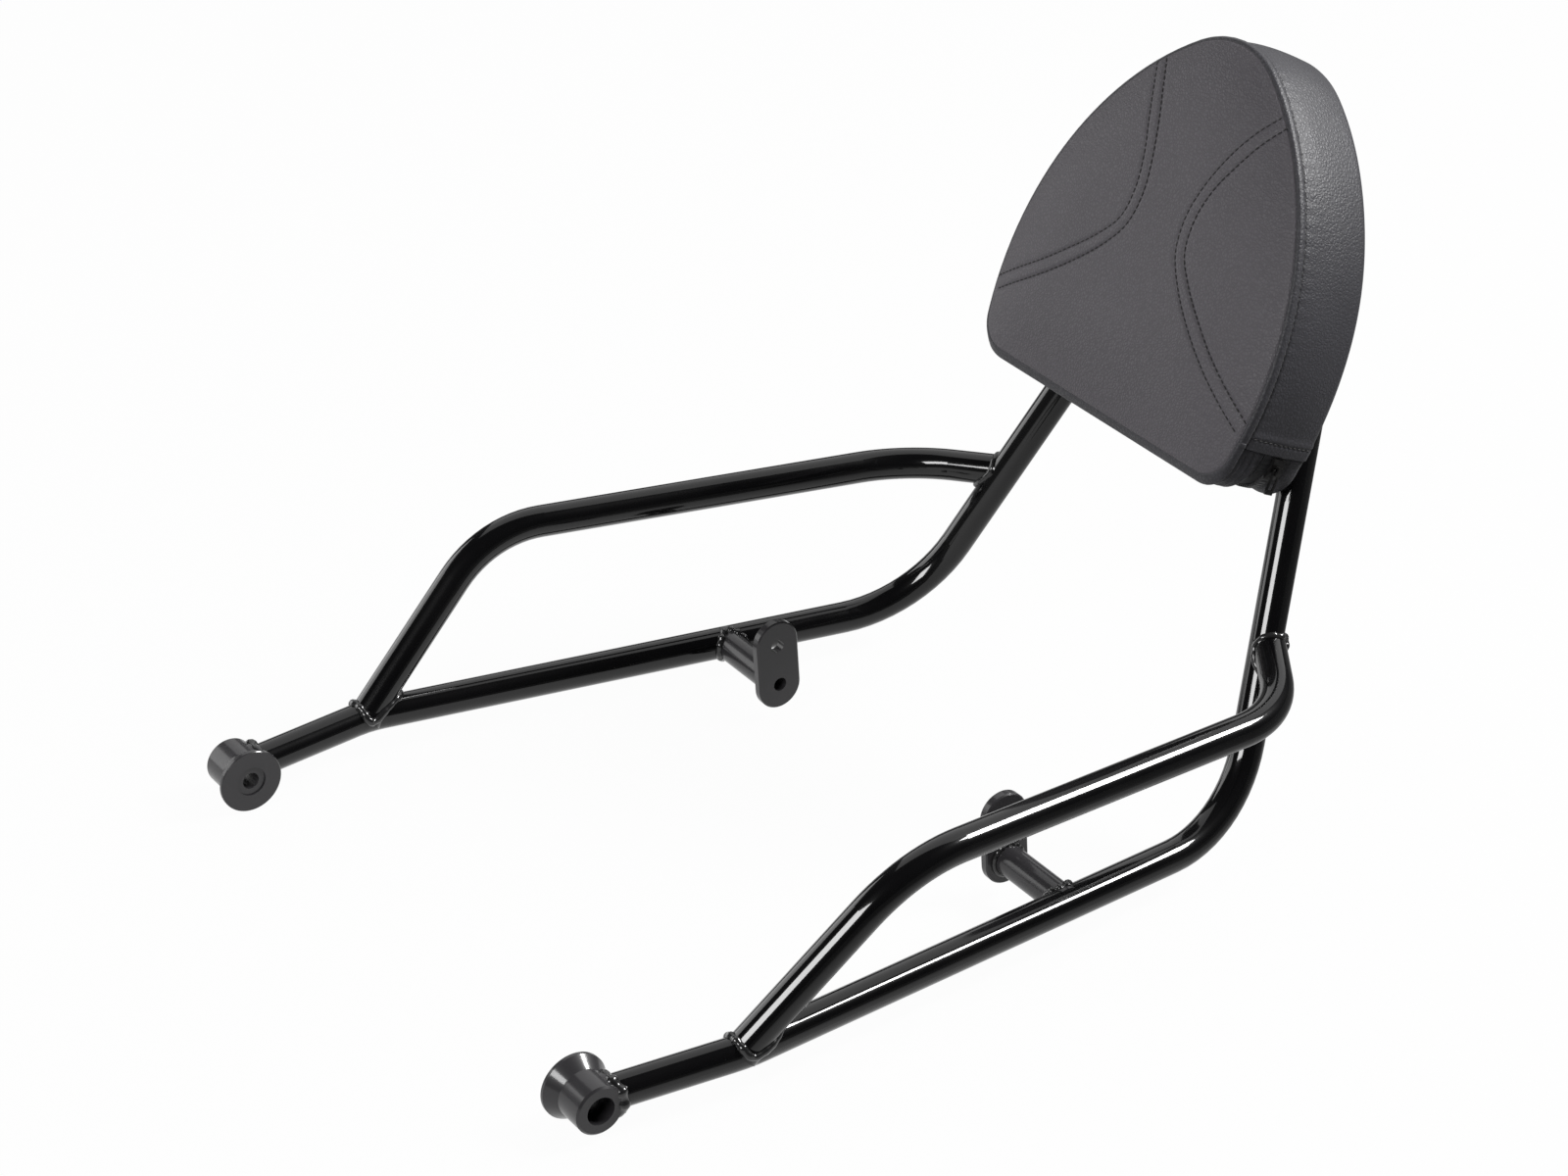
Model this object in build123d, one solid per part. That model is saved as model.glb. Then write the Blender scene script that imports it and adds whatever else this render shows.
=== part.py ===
from build123d import *
import math
import os

# Sissy bar: a bent tube loop with handrails, front bosses, rear plates and a zipped back pad.
# +X is the right side of the bike, +Y points rearwards, +Z is up, millimetres.
# The origin is midway between the front bosses, on their bolt axis.

# Tube stock
tube_od = 20.0
tube_wall = 2.0
bend_radius = 80.0
rail_end_bend_radius = 70.0

# Loop tube, right half
tube_end_x = 202.0
kink_x = 212.2
kink_y = 93.5
arm_height = 5.25
rear_bend_x = 163.9
rear_bend_y = 469.0
lean_deg = 22.9
upright_toe_in_deg = 16.97

# Handrails
rail_foot_y = 90.5
rail_foot_in = 0.7
rail_front_x = 227.5
rail_front_y = 186.2
rail_front_z = 102.1
rail_rear_out = 27.6
rail_rear_behind = 6.2
rail_rear_z = 94.8
rail_joint_up = 107.5
rail_joint_behind = 2.5

# Fillet welds
weld_leg = 1.4
boss_weld_leg = 3.0

# Front bosses
boss_inner_x = 185.0
boss_length = 30.0
boss_flange_d = 40.0
boss_rim = 2.5
boss_cone = 8.0
boss_barrel_d = 30.0
boss_hole_d = 10.5
boss_counterbore_d = 17.0
boss_counterbore_depth = 11.0
boss_recess_d = 18.6
boss_recess_depth = 1.0
boss_chamfer = 1.0
barrel_chamfer = 1.2

# Rear plates and stubs
plate_inner_x = 117.4
plate_thickness = 6.0
plate_width = 30.0
plate_length = 61.0
plate_tilt_deg = 6.0
plate_hole_d = 9.0
plate_hole_spacing = 28.0
plate_edge = 0.8
stub_y = 333.8
stub_d = 19.0
stub_thread_d = 6.8
stub_thread_depth = 24.0

# Pad outline, in the leaning plane: its lower edge under the loop's crest, the rest up from that edge
pad_below_crest = 151.9
pad_half_width = 123.6
pad_wide_up = 59.4
pad_side_radius = 198.0
pad_top_radius = 63.0
pad_corner_radius = 22.0

# Pad build-up, front to back
pad_depth = 61.0
pad_crown = 9.0
crown_shares = (1.0, 0.93, 0.78, 0.50)
crown_rises = (0.0, 0.42, 0.80, 1.0)
cover_thickness = 1.5
board_thickness = 9.0
board_inset = 9.0
panel_gap = 0.4

# Front panel seam, right half, as shares of the pad's half width and height
seam_knots = ((0.50, 1.05), (0.38, 0.80), (0.195, 0.545), (0.52, 0.30), (1.12, 0.13))

# Pad straps and their fasteners
strap_width = 25.0
strap_thickness = 5.0
strap_lower_up = 46.6
strap_upper_up = 121.6
strap_saddle = 14.0
strap_saddle_depth = 4.0
lower_screw_half_spacing = 45.0
upper_screw_half_spacing = 30.0
screw_d = 5.9
screw_length = 16.0
screw_head_d = 10.5
screw_head_height = 3.3
screw_socket_af = 4.0
screw_socket_depth = 2.0
screw_clearance = 0.5
washer_d = 12.0
washer_thickness = 1.6
tee_bore_d = 6.1
tee_barrel_d = 8.0
tee_barrel_length = 8.0
tee_flange_d = 19.0
tee_flange_thickness = 1.5

# Zip
zip_behind_front = 36.0
zip_opening = 22.0
zip_hem_up = 26.6
zip_tape_thickness = 0.8
zip_tape_inset = 0.4
zip_tape_gap = 0.4
zip_chain_width = 5.0
zip_chain_height = 2.0
zip_tooth_pitch = 5.0
zip_tooth_groove = 1.4
zip_groove_depth = 0.8
slider_clearance = 0.5
slider_width = 9.0
slider_roof = 1.2
slider_past_corner_deg = 18.3
slider_span_deg = 30.0
slider_skirt = 0.8
slider_bridge_height = 3.4
slider_bridge_wall = 1.2
slider_bridge_length = 5.0
slider_bridge_width = 3.0
pull_length = 15.0
pull_width = 6.0
pull_thickness = 1.2
pull_eye_clearance = 0.35
pull_slot_end = 3.0

# How far a cutter runs past what it cuts
overcut = 1.0
wide_overcut = 20.0

# Derived positions
tube_r = tube_od / 2
bore_r = tube_r - tube_wall
lean = math.radians(lean_deg)
lean_plane = Plane(origin=(0, 0, 0), x_dir=(1, 0, 0), z_dir=(0, -math.cos(lean), math.sin(lean)))
rear_bend = Vector(rear_bend_x, rear_bend_y, arm_height)
upright_n = -rear_bend_y * math.cos(lean) + arm_height * math.sin(lean)
upright_v = rear_bend_y * math.sin(lean) + arm_height * math.cos(lean)
toe_in = math.tan(math.radians(upright_toe_in_deg))
apex_v = upright_v + rear_bend_x / toe_in
arch_v = apex_v - bend_radius / math.sin(math.radians(upright_toe_in_deg))
crest_v = arch_v + bend_radius
pad_bottom = crest_v - pad_below_crest
pad_wide_at = pad_bottom + pad_wide_up
strap_lower_at = pad_bottom + strap_lower_up
strap_upper_at = pad_bottom + strap_upper_up
zip_hem_at = pad_bottom + zip_hem_up
strap_back_n = upright_n + tube_r
pad_back_n = strap_back_n + strap_thickness
pad_front_n = pad_back_n + pad_depth
cover_inner_n = pad_back_n + cover_thickness
board_front_n = cover_inner_n + board_thickness
zip_n = pad_front_n - zip_behind_front


def in_lean(u, v, n):
    return lean_plane.from_local_coords(Vector(u, v, n))


def rod(start, end, radius):
    place = Plane(origin=start, z_dir=end - start)
    return place * Cylinder(radius, (end - start).length, align=(Align.CENTER, Align.CENTER, Align.MIN))


def section(place, radius, hollow):
    return place * (Circle(radius) - Circle(hollow)) if hollow else place * Circle(radius)


def straight(start, end, radius, hollow):
    place = Plane(origin=start, z_dir=end - start)
    return extrude(section(place, radius, hollow), amount=(end - start).length)


def elbow(start, heading, axis, turn_radius, turn, radius, hollow):
    place = Plane(origin=start, z_dir=heading)
    centre = start + axis.cross(heading) * turn_radius
    arc = math.degrees(turn)
    return revolve(section(place, radius, hollow), axis=Axis(centre, axis), revolution_arc=arc)


def bent_bar(points, turn_radii, radius, hollow=0.0):
    # Straights and torus elbows, each tangent to the next, solid or as tube.
    bar = None
    start = points[0]
    for i in range(1, len(points) - 1):
        into = (points[i] - points[i - 1]).normalized()
        out = (points[i + 1] - points[i]).normalized()
        turn = math.acos(into.dot(out))
        setback = turn_radii[i - 1] * math.tan(turn / 2)
        bend_start = points[i] - into * setback
        bend_end = points[i] + out * setback
        axis = into.cross(out).normalized()
        run = straight(start, bend_start, radius, hollow)
        bar = run if bar is None else bar + run
        bar = bar + elbow(bend_start, into, axis, turn_radii[i - 1], turn, radius, hollow)
        start = bend_end
    return bar + straight(start, points[-1], radius, hollow)


def other_side(point):
    return Vector(-point.X, point.Y, point.Z)


def mirrored(part):
    return mirror(part, about=Plane.YZ)


# Front boss: flange, cone and barrel turned about the bolt axis
boss_outer_x = boss_inner_x + boss_length
flange_r = boss_flange_d / 2
barrel_r = boss_barrel_d / 2
with BuildPart() as boss_turning:
    with BuildSketch(Plane.XY):
        with BuildLine():
            Polyline(
                (boss_inner_x, 0),
                (boss_inner_x, flange_r - boss_chamfer / 2),
                (boss_inner_x + boss_chamfer / 2, flange_r),
                (boss_inner_x + boss_rim, flange_r),
                (boss_inner_x + boss_rim + boss_cone, barrel_r),
                (boss_outer_x - barrel_chamfer, barrel_r),
                (boss_outer_x, barrel_r - barrel_chamfer),
                (boss_outer_x, 0),
                close=True,
            )
        make_face()
    revolve(axis=Axis.X)
boss_blank = boss_turning.part


def along_x(x_start, x_end, diameter, y=0.0, z=0.0):
    return rod(Vector(x_start, y, z), Vector(x_end, y, z), diameter / 2)


front_boss_right = boss_blank - along_x(boss_inner_x - overcut, boss_outer_x + overcut, boss_hole_d)
front_boss_right -= along_x(boss_outer_x - boss_counterbore_depth, boss_outer_x + overcut, boss_counterbore_d)
front_boss_right -= along_x(boss_inner_x - overcut, boss_inner_x + boss_recess_depth, boss_recess_d)

# Loop tube: one bent tube from boss to boss, its ends coped to the boss barrels
right_points = [Vector(tube_end_x, 0, 0), Vector(kink_x, kink_y, arm_height), rear_bend]
loop_points = right_points + [in_lean(0, apex_v, upright_n)] + [other_side(p) for p in reversed(right_points)]
loop_radii = [bend_radius] * 5
loop_outer = bent_bar(loop_points, loop_radii, tube_r)
loop_tube = bent_bar(loop_points, loop_radii, tube_r, bore_r) - boss_blank - mirrored(boss_blank)

# Fillet welds lie where two joined stocks, each thickened by the weld's leg, overlap outside both
loop_zone = bent_bar(loop_points, loop_radii, tube_r + weld_leg)
barrel_span = (boss_inner_x + boss_rim, boss_outer_x - barrel_chamfer)
boss_weld = along_x(*barrel_span, boss_barrel_d + 2 * boss_weld_leg)
boss_weld &= rod(right_points[0], right_points[1], tube_r + boss_weld_leg)
front_boss_right += boss_weld - boss_blank - loop_outer

# Handrail: coped to the loop at its foot and at the upright
foot_share = rail_foot_y / kink_y
foot_x = tube_end_x + (kink_x - tube_end_x) * foot_share - rail_foot_in
joint_v = upright_v + rail_joint_up
joint_u = rear_bend_x - toe_in * rail_joint_up
rail_points = [
    Vector(foot_x, rail_foot_y, arm_height * foot_share),
    Vector(rail_front_x, rail_front_y, rail_front_z),
    Vector(rear_bend_x + rail_rear_out, rear_bend_y + rail_rear_behind, rail_rear_z),
    in_lean(joint_u, joint_v, upright_n - rail_joint_behind),
]
rail_radii = [bend_radius, rail_end_bend_radius]
rail_outer = bent_bar(rail_points, rail_radii, tube_r)
lead_in = (rail_points[0] - rail_points[1]).normalized() * (weld_leg / 2)
lead_out = (rail_points[-1] - rail_points[-2]).normalized() * (weld_leg / 2)
zone_points = [rail_points[0] + lead_in, *rail_points[1:-1], rail_points[-1] + lead_out]
rail_zone = bent_bar(zone_points, rail_radii, tube_r + weld_leg)
handrail_right = bent_bar(rail_points, rail_radii, tube_r, bore_r) - loop_outer
handrail_right += (rail_zone & loop_zone) - loop_outer - rail_outer

# Rear plate: its lower hole is in line with the stub
tilt = math.radians(plate_tilt_deg)
plate_y = stub_y - math.sin(tilt) * plate_hole_spacing / 2
plate_z = arm_height + math.cos(tilt) * plate_hole_spacing / 2
upper_hole_y = stub_y - math.sin(tilt) * plate_hole_spacing
upper_hole_z = arm_height + math.cos(tilt) * plate_hole_spacing
plate_plane = Plane(
    origin=(plate_inner_x, plate_y, plate_z),
    x_dir=(0, -math.sin(tilt), math.cos(tilt)),
    z_dir=(1, 0, 0),
)
plate_blank = extrude(plate_plane * SlotOverall(plate_length, plate_width), amount=plate_thickness)
plate_blank = chamfer(plate_blank.edges().filter_by(GeomType.CIRCLE), plate_edge)
plate_outer_x = plate_inner_x + plate_thickness
plate_span = (plate_inner_x - overcut, plate_outer_x + overcut)
rear_plate_right = plate_blank - along_x(*plate_span, plate_hole_d, stub_y, arm_height)
rear_plate_right -= along_x(*plate_span, plate_hole_d, upper_hole_y, upper_hole_z)

# Plate stub: coped to the arm, tapped from the plate end
arm_share = (stub_y - kink_y) / (rear_bend_y - kink_y)
arm_x = kink_x + (rear_bend_x - kink_x) * arm_share
plate_stub_right = along_x(plate_outer_x, arm_x, stub_d, stub_y, arm_height) - loop_outer
stub_zone = along_x(plate_outer_x, arm_x + weld_leg / 2, stub_d + 2 * weld_leg, stub_y, arm_height)
plate_stub_right += (stub_zone & loop_zone) - loop_outer
plate_weld_place = Plane(origin=(plate_outer_x, stub_y, arm_height), z_dir=(1, 0, 0))
plate_weld = Cone(stub_d / 2 + weld_leg, stub_d / 2, weld_leg, align=(Align.CENTER, Align.CENTER, Align.MIN))
plate_stub_right += plate_weld_place * plate_weld
thread_span = (plate_outer_x - overcut, plate_outer_x + stub_thread_depth)
plate_stub_right -= along_x(*thread_span, stub_thread_d, stub_y, arm_height)

# Pad outline: tangent arcs about fixed centres, so every inset is a true offset
side_u = pad_half_width - pad_side_radius
corner_v = pad_bottom + pad_corner_radius
corner_u = side_u + math.sqrt((pad_side_radius - pad_corner_radius) ** 2 - (corner_v - pad_wide_at) ** 2)
top_v = pad_wide_at + math.sqrt((pad_side_radius - pad_top_radius) ** 2 - side_u ** 2)
pad_top = top_v + pad_top_radius
pad_middle = (pad_bottom + pad_top) / 2
side_low = math.atan2(corner_v - pad_wide_at, corner_u - side_u)
side_high = math.atan2(top_v - pad_wide_at, -side_u)


def polar(u, v, radius, angle):
    return (u + radius * math.cos(angle), v + radius * math.sin(angle))


def flip(point):
    return (-point[0], point[1])


def outline(inset, n, share=1.0):
    # The pad's edge set in by a distance, or shrunk to a share of its size about the pad's middle.
    r_corner = pad_corner_radius - inset
    r_side = pad_side_radius - inset
    r_top = pad_top_radius - inset
    places = [
        (corner_u, pad_bottom + inset),
        polar(corner_u, corner_v, r_corner, (side_low - math.pi / 2) / 2),
        polar(side_u, pad_wide_at, r_side, side_low),
        polar(side_u, pad_wide_at, r_side, (side_low + side_high) / 2),
        polar(side_u, pad_wide_at, r_side, side_high),
        (0, top_v + r_top),
    ]
    shrunk = [(u * share, pad_middle + (v - pad_middle) * share) for u, v in places]
    low, corner_mid, side_start, side_mid, side_end, crest = shrunk
    with BuildSketch(lean_plane.offset(n)) as face:
        with BuildLine():
            Line(flip(low), low)
            ThreePointArc(low, corner_mid, side_start)
            ThreePointArc(side_start, side_mid, side_end)
            ThreePointArc(side_end, crest, flip(side_end))
            ThreePointArc(flip(side_end), flip(side_mid), flip(side_start))
            ThreePointArc(flip(side_start), flip(corner_mid), flip(low))
        make_face()
    return face.sketch


def slab(inset, n_start, n_end):
    return extrude(outline(inset, n_start), amount=n_end - n_start, dir=lean_plane.z_dir)


def block(u_start, u_end, v_start, v_end, n_start, n_end):
    size = (u_end - u_start, v_end - v_start, n_end - n_start)
    box = Box(*size, align=(Align.MIN, Align.MIN, Align.MIN))
    return lean_plane * Pos(u_start, v_start, n_start) * box


def crown(n_base, trim):
    # The swell of the pad front, in three steps that flatten towards the middle.
    levels = [n_base + pad_crown * rise for rise in crown_rises]
    steps = [outline(trim, level, share) for level, share in zip(levels, crown_shares)]
    swell = loft([steps[0], steps[1]], ruled=True)
    swell += loft([steps[1], steps[2]], ruled=True)
    return swell + loft([steps[2], steps[3]], ruled=True)


# Pad straps: flats across the front of the uprights with welded saddles
def upright_u(v):
    tangent_v = arch_v + bend_radius * math.sin(math.radians(upright_toe_in_deg))
    if v < tangent_v:
        return rear_bend_x - toe_in * (v - upright_v)
    return math.sqrt(bend_radius ** 2 - (v - arch_v) ** 2)


def strap(v):
    reach = upright_u(v) + strap_saddle / 2
    low = v - strap_width / 2
    high = v + strap_width / 2
    flat = block(-reach, reach, low, high, strap_back_n, pad_back_n)
    for side in (-1, 1):
        start = side * upright_u(v) - strap_saddle / 2
        flat += block(start, start + strap_saddle, low, high, strap_back_n - strap_saddle_depth, strap_back_n)
    return flat - loop_outer


screw_places = []
for spacing, v in ((lower_screw_half_spacing, strap_lower_at), (upper_screw_half_spacing, strap_upper_at)):
    screw_places += [(-spacing, v), (spacing, v)]


def post(u, v, diameter, n_start, n_end):
    return rod(in_lean(u, v, n_start), in_lean(u, v, n_end), diameter / 2)


def posts(diameter, n_start, n_end):
    return [post(u, v, diameter, n_start, n_end) for u, v in screw_places]


screw_hole_d = screw_d + 2 * screw_clearance
screw_holes = posts(screw_hole_d, strap_back_n - overcut, cover_inner_n + overcut)
pad_strap_lower = strap(strap_lower_at) - screw_holes
pad_strap_upper = strap(strap_upper_at) - screw_holes

# Pad screws, washers and tee nuts, four alike of each
washer_back_n = strap_back_n - washer_thickness
head_back_n = washer_back_n - screw_head_height
pad_screws = Part() + posts(screw_head_d, head_back_n, washer_back_n)
pad_screws += posts(screw_d, washer_back_n, washer_back_n + screw_length)
for u, v in screw_places:
    hexagon = RegularPolygon(screw_socket_af / 2, 6, major_radius=False)
    socket = lean_plane.offset(head_back_n) * Pos(u, v) * hexagon
    pad_screws -= extrude(socket, amount=screw_socket_depth, dir=lean_plane.z_dir)
pad_washers = Part() + posts(washer_d, washer_back_n, strap_back_n)
pad_washers -= posts(screw_hole_d, washer_back_n - overcut, strap_back_n + overcut)
tee_front_n = board_front_n + tee_flange_thickness
tee_nuts = Part() + posts(tee_flange_d, board_front_n, tee_front_n)
tee_nuts += posts(tee_barrel_d, board_front_n - tee_barrel_length, board_front_n)
tee_nuts -= posts(tee_bore_d, board_front_n - tee_barrel_length - overcut, tee_front_n + overcut)

# Pad board and foam
pad_board = slab(board_inset, cover_inner_n, board_front_n)
pad_board -= posts(tee_barrel_d, cover_inner_n - overcut, board_front_n + overcut)
seam_n = pad_front_n - cover_thickness
pad_foam = slab(cover_thickness, cover_inner_n, seam_n) + crown(seam_n, cover_thickness)
pad_foam -= slab(board_inset, cover_inner_n - overcut, board_front_n)
pad_foam -= posts(tee_flange_d, board_front_n - overcut, tee_front_n)
pad_foam -= posts(screw_hole_d, board_front_n - overcut, washer_back_n + screw_length + overcut)

# Cover back panel
back_panel = slab(0, pad_back_n, cover_inner_n) - screw_holes

# Cover front: three panels parted on the two curved seams
front_cover = slab(0, seam_n, pad_front_n) + crown(pad_front_n, 0) - crown(seam_n, 0)
pad_height = pad_top - pad_bottom


def seam_region(shift):
    knots = [(pad_half_width * u + shift, pad_bottom + pad_height * v) for u, v in seam_knots]
    far_u = knots[-1][0] + wide_overcut
    with BuildSketch(lean_plane.offset(seam_n - overcut)) as face:
        with BuildLine():
            Spline(*knots)
            Polyline(knots[-1], (far_u, knots[-1][1]), (far_u, knots[0][1]), knots[0])
        make_face()
    return extrude(face.sketch, amount=cover_thickness + pad_crown + 2 * overcut, dir=lean_plane.z_dir)


front_panel_right = front_cover & seam_region(panel_gap / 2)
front_panel_middle = front_cover - seam_region(-panel_gap / 2) - mirrored(seam_region(-panel_gap / 2))

# Cover edge: side band above the hem, gusset strips either side of the zip below it
far_u = pad_half_width + wide_overcut
edge_ring = slab(0, cover_inner_n, seam_n) - slab(cover_thickness, cover_inner_n - overcut, seam_n + overcut)
side_band = edge_ring & block(-far_u, far_u, zip_hem_at, pad_top + wide_overcut, cover_inner_n, seam_n)
gusset_low = pad_bottom - wide_overcut
gusset_ring = edge_ring & block(-far_u, far_u, gusset_low, zip_hem_at, cover_inner_n, seam_n)
zip_low_n = zip_n - zip_opening / 2
zip_high_n = zip_n + zip_opening / 2
gusset_front = gusset_ring & block(-far_u, far_u, gusset_low, zip_hem_at, zip_high_n, seam_n)
gusset_rear = gusset_ring & block(-far_u, far_u, gusset_low, zip_hem_at, cover_inner_n, zip_low_n)

# Zip tapes
tape_ring = slab(zip_tape_inset, zip_low_n, zip_high_n)
tape_ring -= slab(zip_tape_inset + zip_tape_thickness, cover_inner_n, seam_n)
half_gap = zip_tape_gap / 2
zip_tape_front = tape_ring & block(-far_u, far_u, gusset_low, zip_hem_at, zip_n + half_gap, seam_n)
zip_tape_rear = tape_ring & block(-far_u, far_u, gusset_low, zip_hem_at, cover_inner_n, zip_n - half_gap)

# Zip chain: a toothed strip on the tapes, from the parked slider round to the left corner
chain_top = zip_tape_inset - zip_chain_height
chain_low_n = zip_n - zip_chain_width / 2
chain_high_n = zip_n + zip_chain_width / 2
chain_ring = slab(chain_top, chain_low_n, chain_high_n)
chain_ring -= slab(zip_tape_inset, chain_low_n - overcut, chain_high_n + overcut)
chain_end_v = corner_v + pad_corner_radius * math.sin(side_low)
zip_chain = chain_ring & block(-far_u, far_u, gusset_low, chain_end_v, chain_low_n, chain_high_n)
tooth_count = int(2 * corner_u / zip_tooth_pitch)
for i in range(tooth_count + 1):
    u = (i - tooth_count / 2) * zip_tooth_pitch
    groove_u = (u - zip_tooth_groove / 2, u + zip_tooth_groove / 2)
    groove_v = (pad_bottom + chain_top - overcut, pad_bottom + chain_top + zip_groove_depth)
    zip_chain -= block(*groove_u, *groove_v, chain_low_n - overcut, chain_high_n + overcut)


# Zip slider: a sector about the corner centre, so it follows the chain round the corner
def sector(r_start, r_end, start_deg, end_deg, n_start, n_end):
    a = math.radians(start_deg)
    b = math.radians(end_deg)
    mid = (a + b) / 2
    with BuildSketch(lean_plane.offset(n_start)) as face:
        with BuildLine():
            ThreePointArc(*[polar(corner_u, corner_v, r_end, t) for t in (a, mid, b)])
            Line(polar(corner_u, corner_v, r_end, b), polar(corner_u, corner_v, r_start, b))
            ThreePointArc(*[polar(corner_u, corner_v, r_start, t) for t in (b, mid, a)])
            Line(polar(corner_u, corner_v, r_start, a), polar(corner_u, corner_v, r_end, a))
        make_face()
    return extrude(face.sketch, amount=n_end - n_start, dir=lean_plane.z_dir)


roof_r = pad_corner_radius - chain_top + slider_clearance
roof_top_r = roof_r + slider_roof
skirt_r = roof_r - slider_skirt
slider_low_n = zip_n - slider_width / 2
slider_high_n = zip_n + slider_width / 2
slider_top_deg = math.degrees(side_low) + slider_past_corner_deg
slider_bottom_deg = slider_top_deg - slider_span_deg
slider_degs = (slider_bottom_deg, slider_top_deg)
zip_slider = sector(roof_r, roof_top_r, *slider_degs, slider_low_n, slider_high_n)
skirt_wall = (slider_width - zip_chain_width) / 2 - slider_clearance
zip_slider += sector(skirt_r, roof_r, *slider_degs, slider_low_n, slider_low_n + skirt_wall)
zip_slider += sector(skirt_r, roof_r, *slider_degs, slider_high_n - skirt_wall, slider_high_n)

# Slider bridge: a low arch over the roof that holds the pull
bridge_deg = (slider_bottom_deg + slider_top_deg) / 2
bridge_half = math.degrees(slider_bridge_length / 2 / roof_top_r)
bridge_top_r = roof_top_r + slider_bridge_height
bridge_low_n = zip_n - slider_bridge_width / 2
bridge_high_n = zip_n + slider_bridge_width / 2
bridge_degs = (bridge_deg - bridge_half, bridge_deg + bridge_half)
bridge = sector(roof_top_r, bridge_top_r, *bridge_degs, bridge_low_n, bridge_high_n)
eye_half = math.degrees((slider_bridge_length / 2 - slider_bridge_wall) / roof_top_r)
eye_degs = (bridge_deg - eye_half, bridge_deg + eye_half)
eye_r_end = bridge_top_r - slider_bridge_wall
eye_span_n = (bridge_low_n - overcut, bridge_high_n + overcut)
zip_slider += bridge - sector(roof_top_r, eye_r_end, *eye_degs, *eye_span_n)

# Zip pull: a flat tag with a round bar at its eye, hanging from the bridge
eye_r = (roof_top_r + eye_r_end) / 2
pull_u, pull_v = polar(corner_u, corner_v, eye_r, math.radians(bridge_deg))
pull_bar_d = eye_r_end - roof_top_r - 2 * pull_eye_clearance
pull_low_n = zip_n - pull_width / 2
pull_high_n = zip_n + pull_width / 2
pull_side = (pull_width - slider_bridge_width) / 2 - pull_eye_clearance
zip_pull = post(pull_u, pull_v, pull_bar_d, pull_low_n, pull_high_n)
tag_u = pull_u - pull_thickness / 2
tag = block(tag_u, tag_u + pull_thickness, pull_v - pull_length, pull_v, pull_low_n, pull_high_n)
slot_low_v = pull_v - pull_length + pull_slot_end
slot_u = (tag_u - overcut, tag_u + pull_thickness + overcut)
tag -= block(*slot_u, slot_low_v, pull_v + overcut, pull_low_n + pull_side, pull_high_n - pull_side)
zip_pull = zip_pull + tag

nodes = {
    "loop_tube": loop_tube,
    "handrail_right": handrail_right,
    "handrail_left": mirrored(handrail_right),
    "front_boss_right": front_boss_right,
    "front_boss_left": mirrored(front_boss_right),
    "rear_plate_right": rear_plate_right,
    "rear_plate_left": mirrored(rear_plate_right),
    "plate_stub_right": plate_stub_right,
    "plate_stub_left": mirrored(plate_stub_right),
    "pad_strap_lower": pad_strap_lower,
    "pad_strap_upper": pad_strap_upper,
    "pad_screws": pad_screws,
    "pad_washers": pad_washers,
    "tee_nuts": tee_nuts,
    "pad_board": pad_board,
    "pad_foam": pad_foam,
    "back_panel": back_panel,
    "front_panel_middle": front_panel_middle,
    "front_panel_right": front_panel_right,
    "front_panel_left": mirrored(front_panel_right),
    "side_band": side_band,
    "gusset_front": gusset_front,
    "gusset_rear": gusset_rear,
    "zip_tape_front": zip_tape_front,
    "zip_tape_rear": zip_tape_rear,
    "zip_chain": zip_chain,
    "zip_slider": zip_slider,
    "zip_pull": zip_pull,
}

os.makedirs("parts", exist_ok=True)
for name, part in nodes.items():
    export_step(part, f"parts/{name}.step")
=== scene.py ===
import math
import bpy
import numpy as np
from mathutils import Matrix, Vector


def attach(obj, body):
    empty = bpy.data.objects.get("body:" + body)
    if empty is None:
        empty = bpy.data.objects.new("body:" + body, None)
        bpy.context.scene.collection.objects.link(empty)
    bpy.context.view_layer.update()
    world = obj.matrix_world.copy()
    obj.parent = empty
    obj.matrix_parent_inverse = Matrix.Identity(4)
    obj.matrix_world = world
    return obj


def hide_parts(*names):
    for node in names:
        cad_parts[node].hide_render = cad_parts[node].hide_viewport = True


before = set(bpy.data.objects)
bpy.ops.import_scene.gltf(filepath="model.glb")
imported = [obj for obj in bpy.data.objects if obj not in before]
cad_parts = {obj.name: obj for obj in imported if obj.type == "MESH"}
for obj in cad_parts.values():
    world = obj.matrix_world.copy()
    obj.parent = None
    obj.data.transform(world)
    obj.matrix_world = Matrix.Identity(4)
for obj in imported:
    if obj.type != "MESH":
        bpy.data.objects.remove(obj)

scene = bpy.context.scene
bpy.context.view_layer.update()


# the camera's place, axes and lens, in the frame of the CAD
view = {
    "place": (1.86765, -1.030525, 1.350926),
    "right": (0.551968, 0.833238, 0.032329),
    "up": (-0.40663, 0.235114, 0.882821),
    "ahead": (-0.728, 0.500435, -0.468595),
    "lens": 101.57,
    "sensor": 36.0,
    "farthest": 60.0,
}


def placeCamera():
    data = bpy.data.cameras.new("photoCamera")
    camera = bpy.data.objects.new("photoCamera", data)
    scene.collection.objects.link(camera)
    turn = Matrix((view["right"], view["up"], [-c for c in view["ahead"]])).transposed()
    camera.matrix_world = Matrix.Translation(view["place"]) @ turn.to_4x4()
    data.lens = view["lens"]
    data.sensor_width = view["sensor"]
    data.clip_end = view["farthest"]
    scene.camera = camera
    print("camera placed")


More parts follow.
